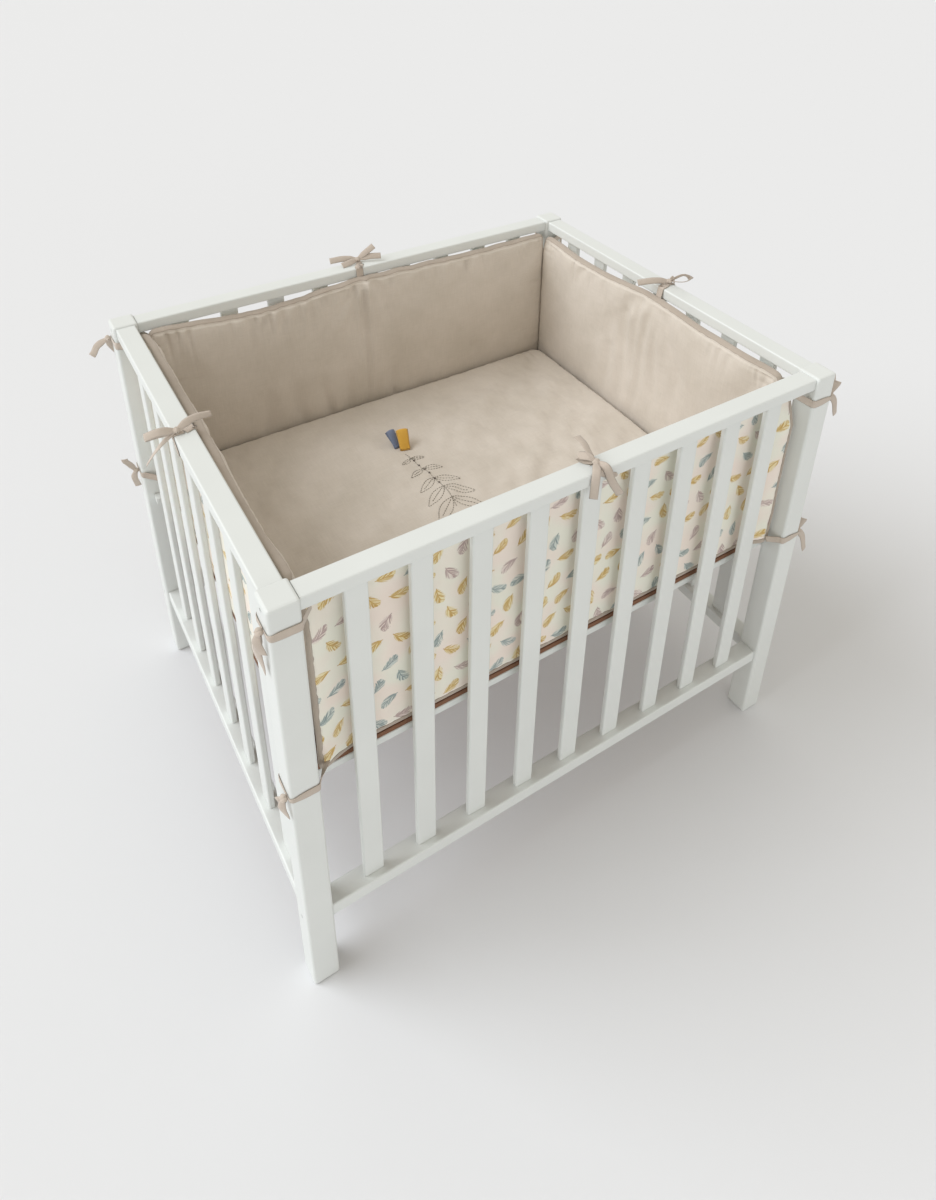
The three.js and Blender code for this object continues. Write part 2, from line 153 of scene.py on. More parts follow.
def swell(seed, x, y, length, count=10):
    """Slow random unevenness of about unit size: a sum of plane waves whose lengths lie round `length`."""
    rng = np.random.default_rng(seed % 9973)
    turn, phase = rng.uniform(0, 2 * np.pi, (2, count, *[1] * np.ndim(x)))
    wave = 2 * np.pi / (length * rng.uniform(0.65, 1.5, (count, *[1] * np.ndim(x))))
    return np.cos(wave * (np.cos(turn) * x + np.sin(turn) * y) + phase).sum(0) / np.sqrt(count / 2)


def sewn(at, u, v):
    """A closed surface of two faces that meet along their edges. `at(u, v, face)` gives the points and flat
    places of a face, 1 or -1, over the grid of u and v; points that fall on each other become one."""
    grid_u, grid_v = np.meshgrid(u, v, indexing="ij")
    points, flats = zip(*(at(grid_u, grid_v, face) for face in (1, -1)))
    index = np.arange(grid_u.size).reshape(grid_u.shape)
    quads = np.stack([index[:-1, :-1], index[1:, :-1], index[1:, 1:], index[:-1, 1:]], -1).reshape(-1, 4)
    points = np.concatenate([p.reshape(-1, 3) for p in points])
    flats = np.concatenate([f.reshape(-1, 2) for f in flats])
    faces = np.concatenate([quads, quads[:, ::-1] + grid_u.size])
    _, first, same = np.unique(np.round(points, 7), axis=0, return_index=True, return_inverse=True)
    return points[first], same.reshape(-1)[faces], flats[faces], np.repeat([0, 1], len(quads))


def show(name, shells, materials, cad=()):
    """Makes one piece of closed shells, rides it on the pen and hides the CAD nodes that it stands for."""
    start = np.cumsum([0] + [len(s[0]) for s in shells])
    points = np.concatenate([s[0] for s in shells])
    faces = np.concatenate([s[1] + k for s, k in zip(shells, start)])
    which = np.concatenate([s[3] for s in shells]) % len(materials)
    mesh = bpy.data.meshes.new(name)
    mesh.vertices.add(len(points))
    mesh.vertices.foreach_set("co", points.astype(np.float32).ravel())
    mesh.loops.add(faces.size)
    mesh.loops.foreach_set("vertex_index", faces.astype(np.int32).ravel())
    mesh.polygons.add(len(faces))
    mesh.polygons.foreach_set("loop_start", np.arange(0, faces.size, 4, dtype=np.int32))
    mesh.polygons.foreach_set("material_index", which.astype(np.int32))
    mesh.polygons.foreach_set("use_smooth", np.ones(len(faces), bool))
    flat = mesh.uv_layers.new(name="cloth")
    flat.data.foreach_set("uv", np.concatenate([s[2] for s in shells]).astype(np.float32).ravel())
    for material in materials:
        mesh.materials.append(material)
    mesh.update(calc_edges=True)
    mesh.validate()
    piece = bpy.data.objects.new(name, mesh)
    bpy.context.scene.collection.objects.link(piece)
    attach(piece, "root")
    if cad:
        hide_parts(*cad)
    return piece


# Plain beige cotton: warm, matt, with slubs and a fine weave that only breaks up the highlight. The threads are
# drawn coarser than real ones, so that they show.
def cotton(name, dark, light, weave):
    """Woven cotton between two colours: slow fading, threads of `weave` metres as a bump over a soft crumple,
    and a soft sheen."""
    made, tree, shader = new_material(name, Roughness=0.95, Sheen_Weight=0.25, Sheen_Roughness=0.5)
    flat = add(tree, "UVMap", uv_map="cloth")[0]
    where = add(tree, "TexCoord")["Object"]
    faded, crumpled, fine, drawn_out = per(111), per(38.5), 1 / weave, 0.08 / weave
    fade = add(tree, "TexNoise", {"Vector": where, "Scale": faded, "Detail": 4.0, "Roughness": 0.6})["Fac"]
    slubs = [add(tree, "TexNoise", {
        "Vector": add(tree, "VectorMath", flat, thread, operation="MULTIPLY")[0],
        "Scale": 1.0, "Detail": 2.0})["Fac"] for thread in ((fine, drawn_out, 1), (drawn_out, fine, 1))]
    threads = add(tree, "Math", *slubs, operation="ADD")[0]
    blend = add(tree, "Math", threads, 0.35, fade, operation="MULTIPLY_ADD")[0]
    tone = add(tree, "MapRange", blend, 0.55, 1.15)[0]
    colour = add(tree, "Mix", {0: tone, 6: linear(dark), 7: linear(light)}, data_type="RGBA")[2]
    crumple = add(tree, "TexNoise", {"Vector": where, "Scale": crumpled, "Detail": 4.0})["Fac"]
    soft = add(tree, "Bump", {"Height": crumple, "Strength": 0.5, "Distance": 3.6 * mm})[0]
    bump = add(tree, "Bump", {"Height": threads, "Strength": 0.25, "Distance": 0.25 * mm, "Normal": soft})[0]
    wire(tree, shader, Base_Color=colour, Normal=bump)
    return made, tree, shader, flat, colour


beige, *_ = cotton("plain_beige_cotton", "C8BFB2", "DAD1C6", 2.4 * mm)

# Printed cotton: plump watercolour feathers in mustard, grey-blue and mauve, a light wash under darker pen
# strokes, scattered on cream that is clouded with blush and pale green.
printed, tree, shader, flat, ground = cotton("feather_print_cotton", "E8DFD2", "F4EEE3", 0.9 * mm)
smooth = {"interpolation_type": "SMOOTHSTEP"}

# One feather in each cell of a grid whose odd rows are shifted by half a cell. By the cell's own chance it is
# moved by up to a tenth of the cell and turned by 0.2 to 4.6 radians; `feather` is half its length, in cells.
cell, feather = 42 * mm, 0.37
grid = add(tree, "SeparateXYZ", add(tree, "VectorMath", flat, (1 / cell,) * 3, operation="MULTIPLY")[0])
row = add(tree, "Math", grid["Y"], operation="FLOOR")[0]
odd = add(tree, "Math", row, 2.0, operation="FLOORED_MODULO")[0]
shifted = add(tree, "Math", odd, 0.5, grid["X"], operation="MULTIPLY_ADD")[0]
spot = add(tree, "CombineXYZ", shifted, grid["Y"])[0]
chance = add(tree, "TexWhiteNoise", add(tree, "VectorMath", spot, operation="FLOOR")[0], noise_dimensions="3D")
jitter = add(tree, "VectorMath", chance["Color"], (0.2, 0.2, 0), (-0.6, -0.6, 0), operation="MULTIPLY_ADD")[0]
in_cell = add(tree, "VectorMath", add(tree, "VectorMath", spot, operation="FRACTION")[0], jitter,
              operation="ADD")[0]
angle = add(tree, "Math", chance["Value"], 4.4, 0.2, operation="MULTIPLY_ADD")[0]
turned = add(tree, "VectorRotate", {"Vector": in_cell, "Angle": angle}, rotation_type="Z_AXIS")[0]
local = add(tree, "SeparateXYZ", add(tree, "VectorMath", turned, (1 / feather,) * 3, operation="MULTIPLY")[0])

# Its outline: a bent shaft, a vane that is a rounded lens with its belly above the middle, and a rim torn along
# the barbs, which slant up from the shaft on both hands.
square = add(tree, "Math", local["Y"], local["Y"], operation="MULTIPLY")[0]
bent = add(tree, "Math", square, 0.18, local["X"], operation="MULTIPLY_ADD")[0]
off_shaft = add(tree, "Math", bent, operation="ABSOLUTE")[0]
lens_shape = add(tree, "Math", 1.0, square, operation="SUBTRACT", use_clamp=True)[0]
vane = add(tree, "Math", lens_shape, 0.5, operation="POWER")[0]
belly = add(tree, "Math", local["Y"], 0.07, 0.56, operation="MULTIPLY_ADD")[0]
reach = add(tree, "Math", vane, belly, operation="MULTIPLY")[0]
barb = add(tree, "Math", off_shaft, -1.7, local["Y"], operation="MULTIPLY_ADD")[0]
own = add(tree, "Math", chance["Value"], 9.0, operation="MULTIPLY")[0]
hand = add(tree, "CombineXYZ", barb, own, add(tree, "Math", bent, operation="SIGN")[0])[0]
ragged = add(tree, "TexNoise", {"Vector": hand, "Scale": 8.0, "Detail": 3.0})["Fac"]
torn = add(tree, "Math", ragged, 1.8, 0.1, operation="MULTIPLY_ADD")[0]
rim = add(tree, "Math", reach, torn, operation="MULTIPLY")[0]
depth = add(tree, "Math", rim, off_shaft, operation="SUBTRACT")[0]
body = add(tree, "MapRange", depth, 0.0, 0.1, **smooth)[0]

# Its inks: a blotchy wash over the body; then pen strokes along the barbs, a broken line at the rim and the
# shaft. Half of the feathers are mustard, a quarter grey-blue and a quarter mauve.
wash = add(tree, "TexNoise", {"Vector": flat, "Scale": per(6.67), "Detail": 3.0})["Fac"]
pen = add(tree, "TexNoise", {"Vector": hand, "Scale": 6.5, "Detail": 1.0})["Fac"]
inked = add(tree, "MapRange", pen, 0.46, 0.54, **smooth)[0]
weaker = add(tree, "MapRange", off_shaft, 0.0, 0.12, 0.5, 1.0, **smooth)[0]
strokes = add(tree, "Math", inked, weaker, operation="MULTIPLY")[0]
at_rim = add(tree, "MapRange", depth, 0.13, 0.03, **smooth)[0]
broken = add(tree, "MapRange", wash, 0.42, 0.6, **smooth)[0]
outline = add(tree, "Math", at_rim, broken, operation="MULTIPLY")[0]
at_shaft = add(tree, "MapRange", off_shaft, 0.08, 0.03, **smooth)[0]
from_quill = add(tree, "MapRange", local["Y"], -1.2, -1.1, **smooth)[0]
to_tip = add(tree, "MapRange", local["Y"], 0.8, 0.5, **smooth)[0]
shaft_run = add(tree, "Math", from_quill, to_tip, operation="MULTIPLY")[0]
shaft = add(tree, "Math", at_shaft, shaft_run, operation="MULTIPLY")[0]
drawn = add(tree, "Math", strokes, outline, operation="MAXIMUM")[0]
in_body = add(tree, "Math", drawn, body, operation="MULTIPLY")[0]
dark = add(tree, "Math", in_body, shaft, operation="MAXIMUM")[0]
choice = add(tree, "SeparateColor", chance["Color"])["Green"]
blue, mauve = (add(tree, "Math", choice, share, operation="GREATER_THAN")[0] for share in (0.5, 0.76))
inks = []
for mustard_ink, blue_ink, mauve_ink in (("E9D99F", "C9D3CF", "E2D4CD"), ("BF9232", "748789", "A88D8B")):
    ink = add(tree, "Mix", {0: blue, 6: linear(mustard_ink), 7: linear(blue_ink)}, data_type="RGBA")[2]
    inks.append(add(tree, "Mix", {0: mauve, 6: ink, 7: linear(mauve_ink)}, data_type="RGBA")[2])
clouds = add(tree, "TexNoise", {"Vector": flat, "Scale": per(77), "Detail": 1.0})["Fac"]
blush = add(tree, "MapRange", clouds, 0.35, 0.65, **smooth)[0]
clouded = add(tree, "Mix", {0: blush, 6: linear("EDF0E2"), 7: linear("F4E5DB")}, data_type="RGBA")[2]
cream = add(tree, "Mix", {0: 0.65, 6: ground, 7: clouded}, data_type="RGBA")[2]
blotchy = add(tree, "MapRange", wash, 0.3, 0.65, 0.5, 0.85, **smooth)[0]
pale_share = add(tree, "Math", body, blotchy, operation="MULTIPLY")[0]
washed = add(tree, "Mix", {0: pale_share, 6: cream, 7: inks[0]}, data_type="RGBA")[2]
deep_share = add(tree, "Math", dark, 0.84, operation="MULTIPLY")[0]
wire(tree, shader, Base_Color=add(tree, "Mix", {0: deep_share, 6: washed, 7: inks[1]}, data_type="RGBA")[2])

post, board_top = 45 * mm, 464.3 * mm
corner, hem, seam_in, inside, outside = 14.4 * mm, 5.4 * mm, 6 * mm, 16 * mm, 5 * mm
panel_foot = board_top + 1.5 * mm

# One row for each side: its turn about the pen's middle, the length between posts and how far out it stands. In
# millimetres: the panel's height to its seam; then, for its left and right half, how far the top edge drops
# beside the bow and at the end, how far the seam stops short of the post, and how far a tie pulls that end out.
# Then how strongly the seams pucker, how square the ends are filled, and a seed.
sides = {
    "front": {"turn": 0, "run": 0.94, "reach": 0.415, "high": 342, "sag": (7, 9), "droop": (0, 0),
              "ends": (18, 10), "flare": (15, 20), "pucker": 1.0, "firm": 20, "seed": 11},
    "right": {"turn": 90, "run": 0.74, "reach": 0.515, "high": 350, "sag": (5, 13), "droop": (6, 8),
              "ends": (30, 14), "flare": (0, 0), "pucker": 1.3, "firm": 44, "seed": 23},
    "back": {"turn": 180, "run": 0.94, "reach": 0.415, "high": 353, "sag": (5, 15), "droop": (4, 0),
             "ends": (19, 19), "flare": (0, 0), "pucker": 2.0, "firm": 44, "seed": 37},
    "left": {"turn": 270, "run": 0.74, "reach": 0.515, "high": 357, "sag": (7, 8), "droop": (0, 0),
             "ends": (14, 14), "flare": (0, 0), "pucker": 1.0, "firm": 44, "seed": 41},
}
for side in sides.values():
    half = side["run"] / 2 + hem
    side["limits"] = (side["ends"][0] * mm - half, half - side["ends"][1] * mm)
    side["tall"] = side["high"] * mm + 2 * hem

# Folds: from one place on the flat panel to another (along, up), how deep the fold dents the panel and its half
# width, all in millimetres. A positive dent goes inwards.
folds = {
    "front": [(0, 350, 12, 120, 5, 14), (-6, 350, -70, 200, 3, 20), (10, 350, 90, 190, 3, 22),
              (-440, 30, -300, 120, 4, 18), (-430, 340, -352, 180, 3, 24), (430, 340, 350, 200, 3, 24),
              (440, 40, 360, 150, 3, 18)],
    "right": [(-24, 358, 10, 10, -5.5, 9), (-42, 358, -52, 60, -4, 9), (46, 300, 52, -10, -5, 12),
              (2, 352, 34, 90, -4, 8), (-60, 345, -140, 160, -5, 16), (20, 350, 120, 210, -5, 16),
              (310, 340, 240, 160, -4, 22), (-300, 340, -230, 140, -4, 22), (96, 200, 104, 0, -4, 13),
              (-110, 240, -116, 20, -3, 14)],
    "back": [(18, 366, 16, -60, -7, 5), (3, 366, 4, -40, 5, 6), (26, 358, 66, 225, -6, 9),
             (38, 358, 112, 250, -5, 10), (-8, 358, -56, 220, -6, 10), (84, 360, 96, 262, -5, 8),
             (128, 360, 140, 250, -6, 7), (160, 360, 168, 282, -5, 6), (192, 360, 206, 244, -6, 8),
             (226, 360, 232, 280, -5, 7), (262, 360, 276, 256, -6, 8), (304, 360, 310, 284, -4, 7),
             (-70, 360, -78, 284, -4, 7), (-126, 360, -134, 290, -4, 8), (-196, 360, -204, 280, -4, 9),
             (-290, 360, -292, 290, -3, 9), (60, 60, 74, 240, -6, 11), (112, 60, 124, 210, -6, 9),
             (176, 60, 182, 220, -5, 13), (250, 70, 252, 200, -4, 14), (-50, 60, -52, 190, -5, 10),
             (-130, 60, -128, 180, -4, 13), (-260, 120, -264, 10, -3, 15), (420, 340, 352, 190, -5, 20),
             (-420, 340, -340, 200, -4, 22)],
    "left": [(8, 367, 4, 60, 5, 13), (-190, 366, -190, 0, 3, 110), (170, 366, 170, 0, -3, 110),
             (2, 362, -80, 190, -3, 18), (16, 362, 90, 180, -3, 18), (-310, 350, -240, 190, 3, 22),
             (310, 350, 250, 200, 3, 22)],
}
wander, held_by_binding, broad_fold = 41 * mm, 14 * mm, 40 * mm


def creases(name, along, up):
    """How far the folds of a panel push it inwards: each is a Gaussian trough across its line, with half as high
    a shoulder on both sides, that wanders and fades along the line; the binding holds the narrow ones flat at
    the top."""
    total = np.zeros(np.shape(along))
    below_top = sides[name]["tall"] - up
    for x0, y0, x1, y1, dent, half in np.array(folds[name]) * mm:
        length = np.hypot(x1 - x0, y1 - y0)
        down = ((along - x0) * (x1 - x0) + (up - y0) * (y1 - y0)) / length
        straight = ((along - x0) * (y1 - y0) - (up - y0) * (x1 - x0)) / length / half
        off = straight + 0.5 * np.sin(down / wander + 300 * x0)
        share = np.clip(down / length, 0, 1)
        past, before = np.clip(down / length - 1, 0, 9), np.clip(-down, 0, 1) / half
        fade = (1 - share) ** 1.2 * np.exp(-past * 12) * np.exp(-before ** 2)
        profile = np.exp(-off ** 2) - 0.45 * np.exp(-((np.abs(off) - 2.1) / 1.1) ** 2)
        held = 1 if half > broad_fold else 1 - 0.8 * np.exp(-(below_top / held_by_binding) ** 2)
        total += dent * profile * fade * held
    return total


end_calm, foot_calm, flare_wide, lean, unevenness = 60 * mm, 90 * mm, 35 * mm, 4 * mm, 1.3 * mm


def hang(name, along, up, inwards):
    """Where cloth of a side panel hangs. `along` is measured from the middle of the side, `up` on the flat panel
    from its lower edge and `inwards` from its seam. The top edge drops by a squared sine between the ties and by
    a square at the ends, wavers and leans on the rail; folds and slow swells push the whole thickness in and
    out, and die out towards the foot; below the rail an end that is pulled out beside the post swings out by a
    Gaussian."""
    side = sides[name]
    low, high = side["limits"]
    rise = np.clip(up / side["tall"], 0, 1)
    ends = np.clip(np.minimum(along - low, high - along) / end_calm, 0, 1)
    share = along / np.where(along < 0, low, high)
    drop = mm * (np.where(along < 0, *side["sag"]) * np.sin(np.pi * share) ** 2
                 + np.where(along < 0, *side["droop"]) * share ** 2)
    drop = drop + 0.6 * mm * swell(side["seed"], along, 0 * along, 0.09) * ends
    stand = np.clip(up / foot_calm, 0, 1) ** 1.5
    calm = 1 - 0.7 * np.clip((rise - 0.85) / 0.15, 0, 1)
    uneven = unevenness * swell(side["seed"] + 1, along, up, 0.22) * ends * calm
    push = creases(name, along, up) + uneven - lean * rise ** 6
    below_rail = np.clip((0.93 - rise) / 0.15, 0, 1)
    flare = sum(out * mm * np.exp(-((along - end) / flare_wide) ** 2)
                for out, end in zip(side["flare"], side["limits"]))
    y = -(side["reach"] - post) + seam_in + push * stand - flare * below_rail + inwards
    turn = np.radians(side["turn"])
    return np.stack([np.cos(turn) * along - np.sin(turn) * y, np.sin(turn) * along + np.cos(turn) * y,
                     panel_foot + up - drop * rise], -1)


stitch_in, stitch_half, stitch_nip, pucker_step, pucker_start = 6.4 * mm, 1.5 * mm, 2.0 * mm, 21 * mm, 11 * mm


def filling(name, along, up, face):
    """How far a panel's inner (1) or outer (-1) face stands off its seam: boxy at the edge, nipped along the
    stitches beside the binding, and dimpled by short puckers that run in from the edges, close together at the
    top and foot."""
    side = sides[name]
    low, high = side["limits"]
    from_end = np.minimum(along - low, high - along)
    inset = drawn_in(from_end, corner)
    upright = fullness((up - inset) / (side["tall"] - 2 * inset), 32)
    full = fullness((along - low) / (high - low), side["firm"]) * upright
    edge = np.minimum(np.minimum(up, side["tall"] - up), from_end)
    nip = stitch_nip * np.exp(-((edge - stitch_in) / stitch_half) ** 2)
    for distance, run, place, deep in ((side["tall"] - up, along, 5, 3.4), (up, along, 6, 3.4),
                                       (from_end, up, 7, 1.8)):
        seed = side["seed"] + place
        slant = run + 0.35 * distance
        phase = 2 * np.pi * run / pucker_step + 2.6 * swell(seed + face, slant, 0 * run, 0.08)
        size = np.clip(0.6 + 0.5 * swell(seed + 20 * face, run, 0 * run, 0.12), 0, 1.3)
        reach = np.clip(28 + 16 * swell(seed + 3, run, 0 * run, 0.05), 12, 70) * mm
        begun = 1 - np.exp(-(distance / pucker_start) ** 4)
        nip = nip + (side["pucker"] * deep * mm * size * (0.5 + 0.5 * np.cos(phase)) ** 2
                     * np.exp(-(distance / reach) ** 2) * begun)
    soft = 1 + 0.022 * swell(side["seed"] + 9 * face, along, up, 0.1)
    return full * ((inside if face > 0 else outside) * soft - nip * (1 if face > 0 else 0.6))


def panel_face(name):
    """The points of a panel's faces, over its rounded outline."""
    low, high = sides[name]["limits"]

    def at(u, v, face):
        along = low + u * (high - low)
        inset = drawn_in(np.minimum(along - low, high - along), corner)
        up = inset + v * (sides[name]["tall"] - 2 * inset)
        return hang(name, along, up, face * filling(name, along, up, face)), np.stack([along, up], -1)

    return at


for name, side in sides.items():
    shell = sewn(panel_face(name), steps(round(side["run"] * 250), 0.66), steps(104, 0.66))
    panel = show(f"side_panel_{name}", [shell], [beige, printed], [f"panel_{name}"])


# Bindings: darker beige bias tape folded over the whole edge of each panel and stitched through both faces,
# in one ring with the panel's outline.
bias_tape, *_ = cotton("beige_bias_tape", "A79A8C", "BAAEA1", 0.8 * mm)
bias_thick, bias_inner_fold = 1.0 * mm, 3.8


def binding_ring(name):
    """The points of a panel's binding. The ring is four straights and four quarter circles, run through by its
    length. Across, the tape goes from the inner face over the edge to the outer face: its distance in from the
    edge is a square, so that it rounds the edge, and it lies its own thickness off the filled cloth. It folds
    furthest over the outer face along the foot, and less far down the ends."""
    first, last = sides[name]["limits"][0] + corner, sides[name]["limits"][1] - corner
    low, high = corner, sides[name]["tall"] - corner
    bend = np.linspace(0, np.pi / 2, 9)
    turns = [(last, low, -np.pi / 2), (last, high, 0), (first, high, np.pi / 2), (first, low, np.pi)]
    way = np.concatenate([bend + start for _, _, start in turns])
    outward = np.stack([np.cos(way), np.sin(way)], -1)
    knots = np.repeat([(cx, cy) for cx, cy, _ in turns], len(bend), 0) + corner * outward
    knots, outward = (np.concatenate([k, k[:1]]) for k in (knots, outward))
    length = np.concatenate([[0], np.cumsum(np.hypot(*np.diff(knots, axis=0).T))])

    def at(u, v, face):
        run = u * length[-1]
        (cx, cy), (ox, oy) = ([np.interp(run, length, k[:, i]) for i in (0, 1)] for k in (knots, outward))
        over = 1 - 2 * v
        waver = 1 + 0.06 * swell(5, 9 * np.cos(2 * np.pi * u), 9 * np.sin(2 * np.pi * u), 0.4)
        outer_fold = 3 + 4 * np.abs(ox) + 8 * np.clip(-oy, 0, 1) + 2 * np.clip(oy, 0, 1)
        depth = np.where(over > 0, bias_inner_fold, outer_fold) * mm * over ** 2 * waver
        along, up = cx - ox * depth, cy - oy * depth
        stand = np.where(over > 0, filling(name, along, up, 1), -filling(name, along, up, -1))
        lift = (bias_thick if face > 0 else -0.4 * bias_thick) * fullness(v, 12)
        off = lift * np.cos(np.pi / 2 * over)
        return (hang(name, along + ox * off, up + oy * off, stand + lift * np.sin(np.pi / 2 * over)),
                np.stack([run, v * 26 * mm], -1))

    return at, length[-1]


for name in sides:
    at, length = binding_ring(name)
    ring = show(f"edge_binding_{name}", [sewn(at, np.linspace(0, 1, 700), np.linspace(0, 1, 17))],
                [bias_tape], [f"binding_{name}"])


# Floor mat: a beige cotton cushion with a thin filling, sewn shut at a seam round its middle height; it lies
# loose on the board between the panels, flat below and softly uneven on top.
mat_half, mat_foot, mat_seam, mat_crown = (441.6 * mm, 341.6 * mm), 464.6 * mm, 34 * mm, 74 * mm
mat_corner, gather_step, gather_reach = 30 * mm, 46 * mm, 45 * mm

# Soft hollows of the filling (x, y, half width, depth) and lying folds (from x, y to x, y, depth, half width),
# in millimetres.
hollows = np.array([(-250, 130, 130, 8), (210, 190, 150, 7), (40, -150, 160, 9), (-330, -190, 110, 6),
                    (340, -120, 120, 7)]) * mm
mat_folds = np.array([(0, 190, 150, 235, 3.5, 16), (-60, 250, -120, 160, 3, 18), (150, 240, 230, 170, 2.5, 22),
                      (-420, 120, -250, 60, 3, 24), (-400, -60, -220, 20, 2.5, 22),
                      (390, 220, 240, 60, 2.5, 26), (-10, 150, -60, -60, 1.5, 30)]) * mm


def mat_top(x, y, full):
    """Height of the mat's upper face: its crown less the Gaussian hollows, with low lying folds and three sizes
    of swells that run out at the sewn edges, where the filling is `full` of its height."""
    loose = 1 - np.maximum(np.abs(x) / mat_half[0], np.abs(y) / mat_half[1]) ** 6
    height = mat_crown - mat_seam + loose * (
        2.0 * mm * swell(77, x, y, 0.2) + 1.2 * mm * swell(78, x, y, 0.07, 40)
        + 0.35 * mm * swell(79, x, y, 0.028, 40))
    for hx, hy, half, deep in hollows:
        height = height - deep * np.exp(-((x - hx) ** 2 + (y - hy) ** 2) / half ** 2)
    for x0, y0, x1, y1, rise, half in mat_folds:
        length = np.hypot(x1 - x0, y1 - y0)
        down = np.clip(((x - x0) * (x1 - x0) + (y - y0) * (y1 - y0)) / length ** 2, -1, 2)
        off = ((x - x0) * (y1 - y0) - (y - y0) * (x1 - x0)) / length / half
        height = height + 1.5 * rise * np.exp(-off ** 2) * np.exp(-((down - 0.5) / 0.5) ** 4)
    return mat_foot + mat_seam + full * height


def gathers(from_edge, run, seed):
    """Small gathers of the cloth along a seam: squared waves of wandering phase that fade off the edge by a
    Gaussian."""
    phase = 2 * np.pi * run / gather_step + 2.2 * swell(seed, run, 0 * run, 0.13)
    return np.exp(-(from_edge / gather_reach) ** 2) * (0.5 + 0.5 * np.cos(phase)) ** 2


def mat_face(u, v, face):
    """The points of the mat's faces: the top swells from the seam, the underside is flat and turns up to it."""
    x = (2 * u - 1) * mat_half[0]
    inset = drawn_in(mat_half[0] - np.abs(x), mat_corner)
    y = (2 * v - 1) * (mat_half[1] - inset)
    full = fullness(u, 90) * fullness(v, 76)
    long_side, short_side = gathers(mat_half[1] - np.abs(y), x, 81), gathers(mat_half[0] - np.abs(x), y, 82)
    top = mat_top(x, y, full * (1 - 0.03 * long_side - 0.03 * short_side))
    below = mat_foot + mat_seam * (1 - np.clip(full / 0.9, 0, 1)) ** 1.2
    return np.stack([x, y, top if face > 0 else below], -1), np.stack([x, y], -1)


cushion = sewn(mat_face, steps(190, 0.75), steps(150, 0.75))
mat = show("floor_mat_cushion", [cushion], [beige], ["floor_mat"])


# Embroidery on the mat: a leafy sprig in grey backstitch, with a row of dark knots on its stem.
# It is sewn through the upper cloth, so that each stitch lies a little in it.
def thread_colour(name, code):
    """Matt embroidery thread of one colour."""
    return new_material(name, Base_Color=linear(code), Roughness=0.8, Sheen_Weight=0.2)[0]


def leaf(base, tip, belly):
    """Outline of a leaf, and its rib: out along one side of a lens shape and back along the other, then a
    straight line for most of the way from base to tip."""
    base, tip = np.array(base, float), np.array(tip, float)
    t = np.linspace(0, 1, 40)[:, None]
    across = np.array([base[1] - tip[1], tip[0] - base[0]])
    bow = belly * np.sin(np.pi * t ** 0.85)
    side_a, side_b = base + t * (tip - base) + bow * across, base + t * (tip - base) - bow * across
    rib = base + np.linspace(0.08, 0.75, 20)[:, None] * (tip - base)
    return [np.concatenate([side_a, side_b[::-1]]), rib]


# The stem in millimetres on the mat, and its pairs of leaves: how far down the stem, how long, how far they lean.
stem_t = np.linspace(0, 1, 60)[:, None]
stem = np.concatenate([-44 - 4 * stem_t + 16 * np.sin(2.2 * stem_t), 128 - 190 * stem_t], 1)
lines = [stem]
for share, size, slope in ((0.1, 34, 0.9), (0.3, 50, 0.8), (0.5, 66, 0.75), (0.7, 82, 0.7), (0.88, 92, 0.62)):
    foot = stem[round(share * 59)]
    for way in (-1, 1):
        lines += leaf(foot, foot + size * np.array([way * np.sin(slope), -np.cos(slope) * 0.9 + 0.25]), 0.17)


def stitches(lines, step, space, thick):
    """Backstitches along flat lines: each is a small lens-shaped length of thread lying on the mat. All are made
    at once, from one template of unit length placed at each stitch's middle, direction and length."""
    middles, ways = [], []
    for line in lines:
        line = line * mm
        length = np.concatenate([[0], np.cumsum(np.hypot(*np.diff(line, axis=0).T))])
        cuts = np.linspace(0, length[-1], max(2, round(length[-1] / step)) + 1)
        ends = np.stack([np.interp(cuts, length, line[:, k]) for k in (0, 1)], -1)
        middles.append((ends[1:] + ends[:-1]) / 2)
        ways.append((ends[1:] - ends[:-1]) * (1 - space))
    middle, way = np.concatenate(middles), np.concatenate(ways)

    def at(u, v, face):
        bulge = fullness(u, 4)
        points = np.stack([u - 0.5, (v - 0.5) * bulge, face * 0.5 * bulge * fullness(v, 2)], -1)
        return points, np.stack([u, v], -1)

    points, faces, flats, which = sewn(at, np.linspace(0, 1, 7), np.linspace(0, 1, 5))
    heading = way / np.linalg.norm(way, axis=1, keepdims=True)
    xy = (middle[:, None] + points[None, :, :1] * way[:, None]
          + points[None, :, 1:2] * thick * np.stack([-heading[:, 1], heading[:, 0]], -1)[:, None])
    z = mat_top(xy[..., 0], xy[..., 1], 1.0) + 0.25 * thick + points[None, :, 2] * thick * 0.8
    count = len(middle)
    return (np.concatenate([xy, z[..., None]], -1).reshape(-1, 3),
            (faces[None] + (np.arange(count) * len(points))[:, None, None]).reshape(-1, 4),
            np.tile(flats, (count, 1, 1)), np.tile(which, count))


show("embroidery_lines", [stitches(lines, 5.5 * mm, 0.12, 1.5 * mm)], [thread_colour("grey_thread", "8C8578")])
dots = [np.array([p - (1.9, 0), p + (1.9, 0)]) for p in stem[[9, 14, 20, 25, 31, 36]]]
show("embroidery_knots", [stitches(dots, 1.0, 0.0, 3.8 * mm)], [thread_colour("dark_thread", "4B3C35")])


